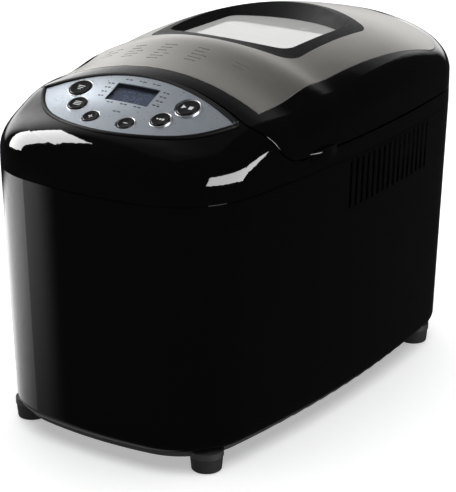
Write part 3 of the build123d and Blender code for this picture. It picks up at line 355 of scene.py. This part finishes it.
def ring_solid(profile, centre, normal, steps=48):
    """Closed ring: profile is a closed loop of (radius, height) pairs."""
    mesh_data = bmesh.new()
    up = Vector(normal).normalized()
    side = Vector((1, 0, 0))
    other = up.cross(side)
    loops = []
    for i in range(steps):
        turn = 2 * pi * i / steps
        out = side * cos(turn) + other * sin(turn)
        loops.append([mesh_data.verts.new(centre + out * r + up * h) for r, h in profile])
    join_loops(mesh_data, loops)
    return mesh_data


def closed_tube(points, radius, steps=12):
    """Round bead along a closed line of points."""
    mesh_data = bmesh.new()
    count = len(points)
    loops = []
    for i, point in enumerate(points):
        along = (points[(i + 1) % count] - points[i - 1]).normalized()
        across = along.cross(Vector((0, 0, 1))).normalized()
        up = across.cross(along)
        loops.append([
            mesh_data.verts.new(point + (across * cos(2 * pi * k / steps)
                                         + up * sin(2 * pi * k / steps)) * radius)
            for k in range(steps)
        ])
    join_loops(mesh_data, loops)
    return mesh_data


# ---------------------------------------------------------------- buttons
BUTTON_PLACES = [f"{place}_{side}" for place in ("outer", "middle", "inner")
                 for side in ("left", "right")]


def panel_normal():
    """Normal of the control panel, from the buttons' sliding direction."""
    for joint in frame["joints"]:
        if joint["name"] == "button_inner_left_press":
            return -Vector(joint["axis"]).normalized()


PANEL_UP = panel_normal()


def button_shape(place):
    """Centre of a cap's top face and the cap's radius, read from its CAD node."""
    low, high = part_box(f"button_{place}")
    radius = (high.x - low.x) / 2 - RING_WIDTH - FLANGE_STEP
    heights = [(v.co.dot(PANEL_UP), v.co) for v in NODES[f"button_{place}"].data.vertices]
    top = max(h for h, _ in heights)
    face = [co for h, co in heights if top - h < SAME_HEIGHT]
    front = min(co.y for co in face)
    back = max(co.y for co in face)
    mean_z = sum(co.z for co in face) / len(face)
    centre = Vector(((low.x + high.x) / 2, (front + back) / 2, mean_z))
    centre += PANEL_UP * (top - centre.dot(PANEL_UP))
    return centre, radius


def cap_height(distance, radius):
    """Height of the cap's dished top over its rim, at a distance from its middle."""
    return -CAP_DISH * (1 - (distance / radius) ** 2)


def make_button(place):
    """Cap with a rounded rim and a slightly dished top, on its flange and stem."""
    centre, radius = button_shape(place)
    node = f"button_{place}"
    low_end = min(v.co.dot(PANEL_UP) for v in NODES[node].data.vertices)
    depth = centre.dot(PANEL_UP) - low_end
    flat = radius - CAP_RIM
    flange = radius + RING_WIDTH + FLANGE_STEP
    profile = [(0, cap_height(0, radius))]
    for share in (0.3, 0.55, 0.75):
        profile.append((radius * share, cap_height(radius * share, radius)))
    profile.append((flat, 0))
    for i in range(1, 6):
        turn = pi / 2 * i / 5
        profile.append((flat + CAP_RIM * sin(turn), -CAP_RIM + CAP_RIM * cos(turn)))
    profile += [(radius, -FLANGE_TOP), (flange, -FLANGE_TOP), (flange, -FLANGE_LOW),
                (STEM_RADIUS, -FLANGE_LOW), (STEM_RADIUS, -depth), (0, -depth)]
    cap = piece(f"cap_{place}", turned(profile, centre, PANEL_UP), node, "button_black")
    keep_edges(cap)
    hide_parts(node)
    return centre, radius


def keep_edges(obj, angle=35.0):
    """Mark the edges of a piece that stay crisp under smooth shading."""
    limit = radians(angle)
    mesh_data = bmesh.new()
    mesh_data.from_mesh(obj.data)
    for edge in mesh_data.edges:
        if len(edge.link_faces) == 2 and edge.calc_face_angle(0) > limit:
            edge.smooth = False
    mesh_data.to_mesh(obj.data)
    mesh_data.free()


def make_rings(shapes):
    """Bright trim ring with a rounded top round each cap, all in one piece."""
    joined = bmesh.new()
    for centre, radius in shapes.values():
        base = centre - PANEL_UP * CAP_PROUD
        inner = radius + RING_GAP
        outer = radius + RING_WIDTH - RING_EDGE
        middle = (inner + outer) / 2
        half = (outer - inner) / 2
        profile = [(inner, -RING_SINK), (inner, RING_WALL)]
        for i in range(1, 6):
            turn = pi - pi * i / 6
            profile.append((middle + half * cos(turn), RING_WALL + RING_CROWN * sin(turn)))
        profile += [(outer, RING_WALL), (outer, -RING_SINK)]
        part = ring_solid(profile, base, PANEL_UP)
        mesh = bpy.data.meshes.new("ring")
        part.to_mesh(mesh)
        part.free()
        joined.from_mesh(mesh)
        bpy.data.meshes.remove(mesh)
    rings = piece("cap_rings", joined, "housing", "trim_chrome")
    keep_edges(rings)
    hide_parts("button_rings")


def cap_mark(place, shapes, outlines):
    """White symbol laid on a cap's dished top; outlines are in the cap's own plane."""
    centre, radius = shapes[place]
    across = Vector((1, 0, 0))
    along = PANEL_UP.cross(across)

    def top_of(u, v):
        return centre + across * u + along * v + PANEL_UP * cap_height(hypot(u, v), radius)

    mesh_data = bmesh.new()
    for outline in outlines:
        add_plate(mesh_data, outline, top_of, CAP_PRINT, CAP_PRINT)
    piece(f"cap_mark_{place}", mesh_data, f"button_{place}", "nylon_white", "ink_white",
          smooth=False)


def make_cap_marks(shapes):
    """Generic symbols: bars, dots, a plus, a minus and a play-and-stop pair."""
    minus = capsule(0, 0, 4.2 * MM, CAP_BAR)
    upright = capsule(0, 0, 4.2 * MM, CAP_BAR, pi / 2)
    cap_mark("inner_left", shapes, [minus, upright])
    cap_mark("inner_right", shapes, [minus])
    rows = [capsule(0, row * 1.8 * MM, 6.6 * MM, CAP_BAR) for row in (-1, 0, 1)]
    cap_mark("middle_left", shapes, rows)
    dots = [disc(x * 2.6 * MM, 0, (1.0 + 0.2 * x) * MM) for x in (-1, 0, 1)]
    cap_mark("middle_right", shapes, dots)
    steps = [capsule(0, row * 2.0 * MM, (5.0 + row * 1.6) * MM, CAP_BAR) for row in (-1, 0, 1)]
    cap_mark("outer_left", shapes, steps)
    play = [(x * MM, y * MM) for x, y in ((-5.2, -2.2), (-1.4, 0), (-5.2, 2.2))]
    stop = [(x * MM, y * MM) for x, y in ((1.0, -1.8), (4.6, -1.8), (4.6, 1.8), (1.0, 1.8))]
    cap_mark("outer_right", shapes, [play, stop])


# ---------------------------------------------------------------- printed marks
def marks_on(name, node, body, slot, look, outlines):
    """Printed marks that follow a CAD node's upper surface."""
    mesh_data = bmesh.new()
    for outline in outlines:
        add_plate(mesh_data, outline, lambda x, y: drop(node, x, y))
    return piece(name, mesh_data, body, slot, look, smooth=False)


def word_bars(x, y, widths):
    """Short bars in a row, centred, standing for a printed word; widths are in mm."""
    total = sum(widths) * MM + WORD_GAP * (len(widths) - 1)
    left = x - total / 2
    outlines = []
    for width in widths:
        outlines.append(capsule(left + width * MM / 2, y, width * MM, WORD_HEIGHT))
        left += width * MM + WORD_GAP
    return outlines


def make_panel_marks():
    """Rows of short bars round the display."""
    low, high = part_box("lcd_window")
    middle_y = (low.y + high.y) / 2
    half_x, half_y = DISPLAY_HALF
    line_y = half_y + 3.4 * MM
    column_x = half_x + 6.2 * MM
    row_pitch = 4.6 * MM
    outlines = []
    for i, x in enumerate((-13 * MM, 0, 13 * MM)):
        outlines += word_bars(x, middle_y + line_y, (2.6, 3.2 + i * 0.4))
        outlines += word_bars(x, middle_y - line_y, (3.0, 2.4 + i * 0.5))
    for row in range(4):
        y = middle_y + (1.5 - row) * row_pitch
        outlines += word_bars(-column_x, y, (2.4, 3.0 - row * 0.4))
        outlines += word_bars(column_x, y, (2.2 + row * 0.3, 2.8))
    outlines += word_bars(0, middle_y - half_y - 12.0 * MM, (3.2, 3.2))
    marks_on("panel_marks", "control_fascia", "housing", "component_black", "ink_dark", outlines)


def make_plate_marks():
    """Faint lists of bars printed across the front of the lid plate."""
    plate_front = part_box("decor_plate")[0].y
    outlines = []
    for x, rows, first_row in PLATE_COLUMNS:
        for row in range(rows):
            y = plate_front + first_row * MM - row * PLATE_ROW
            length = 9.0 + ((row * 3 + rows) % 4) * 1.8
            outlines.append(capsule((x + length / 2 - 6.0) * MM, y, length * MM, CAP_BAR))
    marks_on("plate_marks", "decor_plate", "lid", "component_black", "ink_plate", outlines)


def shallow_arc(half_width, tip_y, middle_y, steps=40):
    """Plan points of an arc from the left tip through the middle to the right tip."""
    rise = middle_y - tip_y
    radius = (half_width**2 + rise**2) / (2 * rise)    # negative where the arc hangs down
    reach = asin(half_width / abs(radius))
    points = []
    for i in range(steps + 1):
        turn = reach * (2 * i / steps - 1)
        points.append((abs(radius) * sin(turn), middle_y - radius + radius * cos(turn)))
    return points


def make_panel_rim():
    """Raised bead of the hood round the control panel, in the plane of the panel's face."""
    low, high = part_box("control_fascia")
    tip = max(NODES["control_fascia"].data.vertices, key=lambda vertex: vertex.co.x).co
    back = shallow_arc(high.x, tip.y, high.y)
    front = shallow_arc(high.x, tip.y, low.y)
    middle_y = (low.y + high.y) / 2
    points = []
    for x, y in back[:-1] + front[:0:-1]:
        # The outline itself is just off the panel, so the height is read a little inside it
        inside = drop("control_fascia", x * 0.97, middle_y + (y - middle_y) * 0.95)
        slope = Vector((x, y, 0)) - Vector((inside.x, inside.y, 0))
        rise = -(PANEL_UP.x * slope.x + PANEL_UP.y * slope.y) / PANEL_UP.z
        points.append(Vector((x, y, inside.z + rise)) - PANEL_UP * RIM_SINK)
    piece("panel_rim", closed_tube(points, RIM_RADIUS), "housing", "body_gloss", "rim_satin")


def seven_segments(number, x, y, width, height, thick):
    """Bars of a seven-segment digit."""
    lit = {0: "abcdef", 2: "abged", 3: "abgcd"}[number]
    half = height / 2
    places = {
        "a": (0, half, 0), "g": (0, 0, 0), "d": (0, -half, 0),
        "b": (width / 2, half / 2, 1), "c": (width / 2, -half / 2, 1),
        "f": (-width / 2, half / 2, 1), "e": (-width / 2, -half / 2, 1),
    }
    outlines = []
    for segment in lit:
        u, v, upright = places[segment]
        length = (half if upright else width) - thick * 0.6
        outlines.append(capsule(x + u, y + v, length, thick, upright * pi / 2, 3))
    return outlines


def make_display_marks():
    """Digits and small marks on the display, under its window."""
    low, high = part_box("lcd_window")
    x0 = (low.x + high.x) / 2
    y0 = (low.y + high.y) / 2
    outlines = []
    for place, number in DIGITS:
        outlines += seven_segments(number, x0 + place * MM, y0 - DIGITS_DOWN, *DIGIT_SIZE)
    outlines += [disc(x0 - 3.8 * MM, y0 + k * MM - DIGITS_DOWN, 0.5 * MM, 10) for k in (-1.6, 1.6)]
    for i in range(6):
        outlines.append(capsule(x0 + (i * 4.6 - 11.5) * MM, y0 + 5.2 * MM, 3.0 * MM, CAP_BAR))
    marks_on("display_marks", "lcd_module", "housing", "lcd_dark", "ink_lcd", outlines)


# ---------------------------------------------------------------- studio
def area_light(name, place, aim, size, power, roll=0.0, glossy=True, diffuse=True):
    """Rectangular soft box turned towards a point, and rolled about its own axis."""
    data = bpy.data.lights.new(name, "AREA")
    data.shape = "RECTANGLE"
    data.size, data.size_y = size
    data.energy = power
    lamp = bpy.data.objects.new(name, data)
    bpy.context.scene.collection.objects.link(lamp)
    lamp.location = place
    facing = (Vector(aim) - Vector(place)).to_track_quat("-Z", "Y")
    lamp.rotation_euler = (facing @ Quaternion((0, 0, 1), radians(roll))).to_euler()
    lamp.visible_camera = False
    lamp.visible_glossy = glossy
    lamp.visible_diffuse = diffuse


def towards(azimuth, elevation, distance):
    """Point seen from the machine in a direction: azimuth 0 is in front, 90 to its right."""
    a, e = radians(azimuth), radians(elevation)
    offset = Vector((sin(a) * cos(e), -cos(a) * cos(e), sin(e))) * distance
    return offset + Vector((0, 0, AIM_HEIGHT))


def box_light(name, azimuth, elevation, distance, size, roll):
    """Soft box in a direction, turned towards the machine, that is only mirrored."""
    power = LAMP_LEVEL * pi * size[0] * size[1]
    place = towards(azimuth, elevation, distance)
    area_light(name, place, (0, 0, AIM_HEIGHT), size, power, roll, diffuse=False)


def make_lights():
    """Two soft boxes that the hood mirrors, and a sky over the floor."""
    box_light("box_left", -78, 29, 1.6, (0.76, 1.36), roll=20)
    box_light("box_right", 91, 6, 1.8, (1.75, 0.72), roll=-19)
    area_light("sky", (0, 0, 2.6), (0, 0, 0), (4.2, 4.2), 102, glossy=False)


def make_floor():
    """Plain pale floor with a painted glow that grows with the distance from the machine, up to white; the weaker
    glow near the machine leaves the floor darker round it.
    """
    mesh_data = bmesh.new()
    reach = FLOOR_REACH
    corners = [mesh_data.verts.new((x, y, 0)) for x, y in
               ((-reach, -reach), (reach, -reach), (reach, reach), (-reach, reach))]
    mesh_data.faces.new(corners)
    mesh = bpy.data.meshes.new("floor")
    mesh_data.to_mesh(mesh)
    mesh_data.free()
    floor = bpy.data.objects.new("floor", mesh)
    bpy.context.scene.collection.objects.link(floor)
    material, tree, principled, source = shader("floor_paper")
    paper = tint(tree, noise(tree, source, 2.0), (0.93, 0.93, 0.935), (0.96, 0.96, 0.965))
    tree.links.new(paper, principled.inputs["Base Color"])
    principled.inputs["Roughness"].default_value = 0.9
    principled.inputs["Specular IOR Level"].default_value = 0.0
    principled.inputs["Emission Color"].default_value = (1, 1, 1, 1)
    # Painted light: emission from the distance to the machine, weaker close to it, so the floor is darker round
    # the machine and white far off
    distance = tree.nodes.new("ShaderNodeVectorMath")
    distance.operation = "LENGTH"
    tree.links.new(source, distance.inputs[0])
    glow = tree.nodes.new("ShaderNodeMapRange")
    for name, number in zip(("From Min", "From Max", "To Min", "To Max"), FLOOR_GLOW):
        glow.inputs[name].default_value = number
    tree.links.new(distance.outputs["Value"], glow.inputs["Value"])
    tree.links.new(glow.outputs["Result"], principled.inputs["Emission Strength"])
    mesh.materials.append(material)
    floor.visible_glossy = False


def world_math(tree, operation, first, second):
    """Arithmetic in the world's shader."""
    step = tree.nodes.new("ShaderNodeMath")
    step.operation = operation
    for socket, value in zip(step.inputs, (first, second)):
        if isinstance(value, (int, float)):
            socket.default_value = value
        else:
            tree.links.new(value, socket)
    return step.outputs["Value"]


def world_ramp(tree, value, start, end, low, high):
    """Value carried smoothly from one range to another, and held at both ends."""
    ramp = tree.nodes.new("ShaderNodeMapRange")
    ramp.interpolation_type = "SMOOTHSTEP"
    for name, number in zip(("From Min", "From Max", "To Min", "To Max"), (start, end, low, high)):
        ramp.inputs[name].default_value = number
    tree.links.new(value, ramp.inputs["Value"])
    return ramp.outputs["Result"]


def world_side(tree, split, azimuth, dark_at, full_at):
    """One towards an azimuth, and nothing beyond an angle to its left and right. The direction is
    divided by the length of its level part, so its elevation doesn't count."""
    turn = radians(azimuth)
    along_x = world_math(tree, "MULTIPLY", split.outputs["X"], sin(turn))
    along_y = world_math(tree, "MULTIPLY", split.outputs["Y"], -cos(turn))
    up = split.outputs["Z"]
    level = world_math(tree, "SUBTRACT", 1.0, world_math(tree, "MULTIPLY", up, up))
    reach = world_math(tree, "SQRT", world_math(tree, "MAXIMUM", level, 0.0001), 0.0)
    facing = world_math(tree, "DIVIDE", world_math(tree, "ADD", along_x, along_y), reach)
    return world_ramp(tree, facing, cos(radians(dark_at)), cos(radians(full_at)), 0.0, 1.0)


def make_world():
    """White surroundings for the camera. What the machine mirrors of them is a pale screen, behind
    it and to its left, that fades upwards, and the lit floor beside it."""
    scene = bpy.context.scene
    world = bpy.data.worlds.new("studio")
    world.use_nodes = True
    tree = world.node_tree
    split = tree.nodes.new("ShaderNodeSeparateXYZ")
    tree.links.new(tree.nodes.new("ShaderNodeTexCoord").outputs["Generated"], split.inputs["Vector"])
    up = split.outputs["Z"]
    screen = world_math(tree, "MULTIPLY", world_ramp(tree, up, *SCREEN_FOOT, 0.0, 1.0),
                        world_ramp(tree, up, *SCREEN_FADE, SCREEN_LEVEL, SCREEN_TOP_LEVEL))
    screen = world_math(tree, "MULTIPLY", screen, world_side(tree, split, *SCREEN_SIDE))
    ground = world_math(tree, "MULTIPLY", world_ramp(tree, up, *GROUND_END, 1.0, 0.0),
                        world_ramp(tree, up, *GROUND_FADE, GROUND_NEAR_LEVEL, GROUND_LEVEL))
    ground = world_math(tree, "MULTIPLY", ground, world_side(tree, split, *GROUND_SIDE))
    mirrored = world_math(tree, "ADD", world_math(tree, "ADD", screen, ground), DARK_LEVEL)
    seen = tree.nodes.new("ShaderNodeLightPath").outputs["Is Camera Ray"]
    background = tree.nodes["Background"]
    background.inputs["Color"].default_value = (1, 1, 1, 1)
    tree.links.new(world_math(tree, "MAXIMUM", mirrored, seen), background.inputs["Strength"])
    scene.world = world
    scene.view_settings.view_transform = "Standard"


def make_camera():
    """Camera in front of the machine's right corner, a little above it, with a long lens."""
    azimuth, elevation = radians(34.5), radians(19.93)
    data = bpy.data.cameras.new("camera")
    data.lens = 145.55
    data.sensor_width = 36.0
    data.shift_y = 0.0029
    data.clip_end = 50
    camera = bpy.data.objects.new("camera", data)
    camera.location = (0.8869, -1.2997, 0.6848)
    camera.rotation_euler = Euler((pi / 2 - elevation, 0, azimuth))
    bpy.context.scene.collection.objects.link(camera)
    bpy.context.scene.camera = camera


def build():
    """Everything in the scene."""
    make_world()
    make_camera()
    make_floor()
    make_lights()
    paint_nodes()
    shapes = {place: make_button(place) for place in BUTTON_PLACES}
    make_rings(shapes)
    make_cap_marks(shapes)
    make_panel_rim()
    make_panel_marks()
    make_plate_marks()
    make_display_marks()


build()
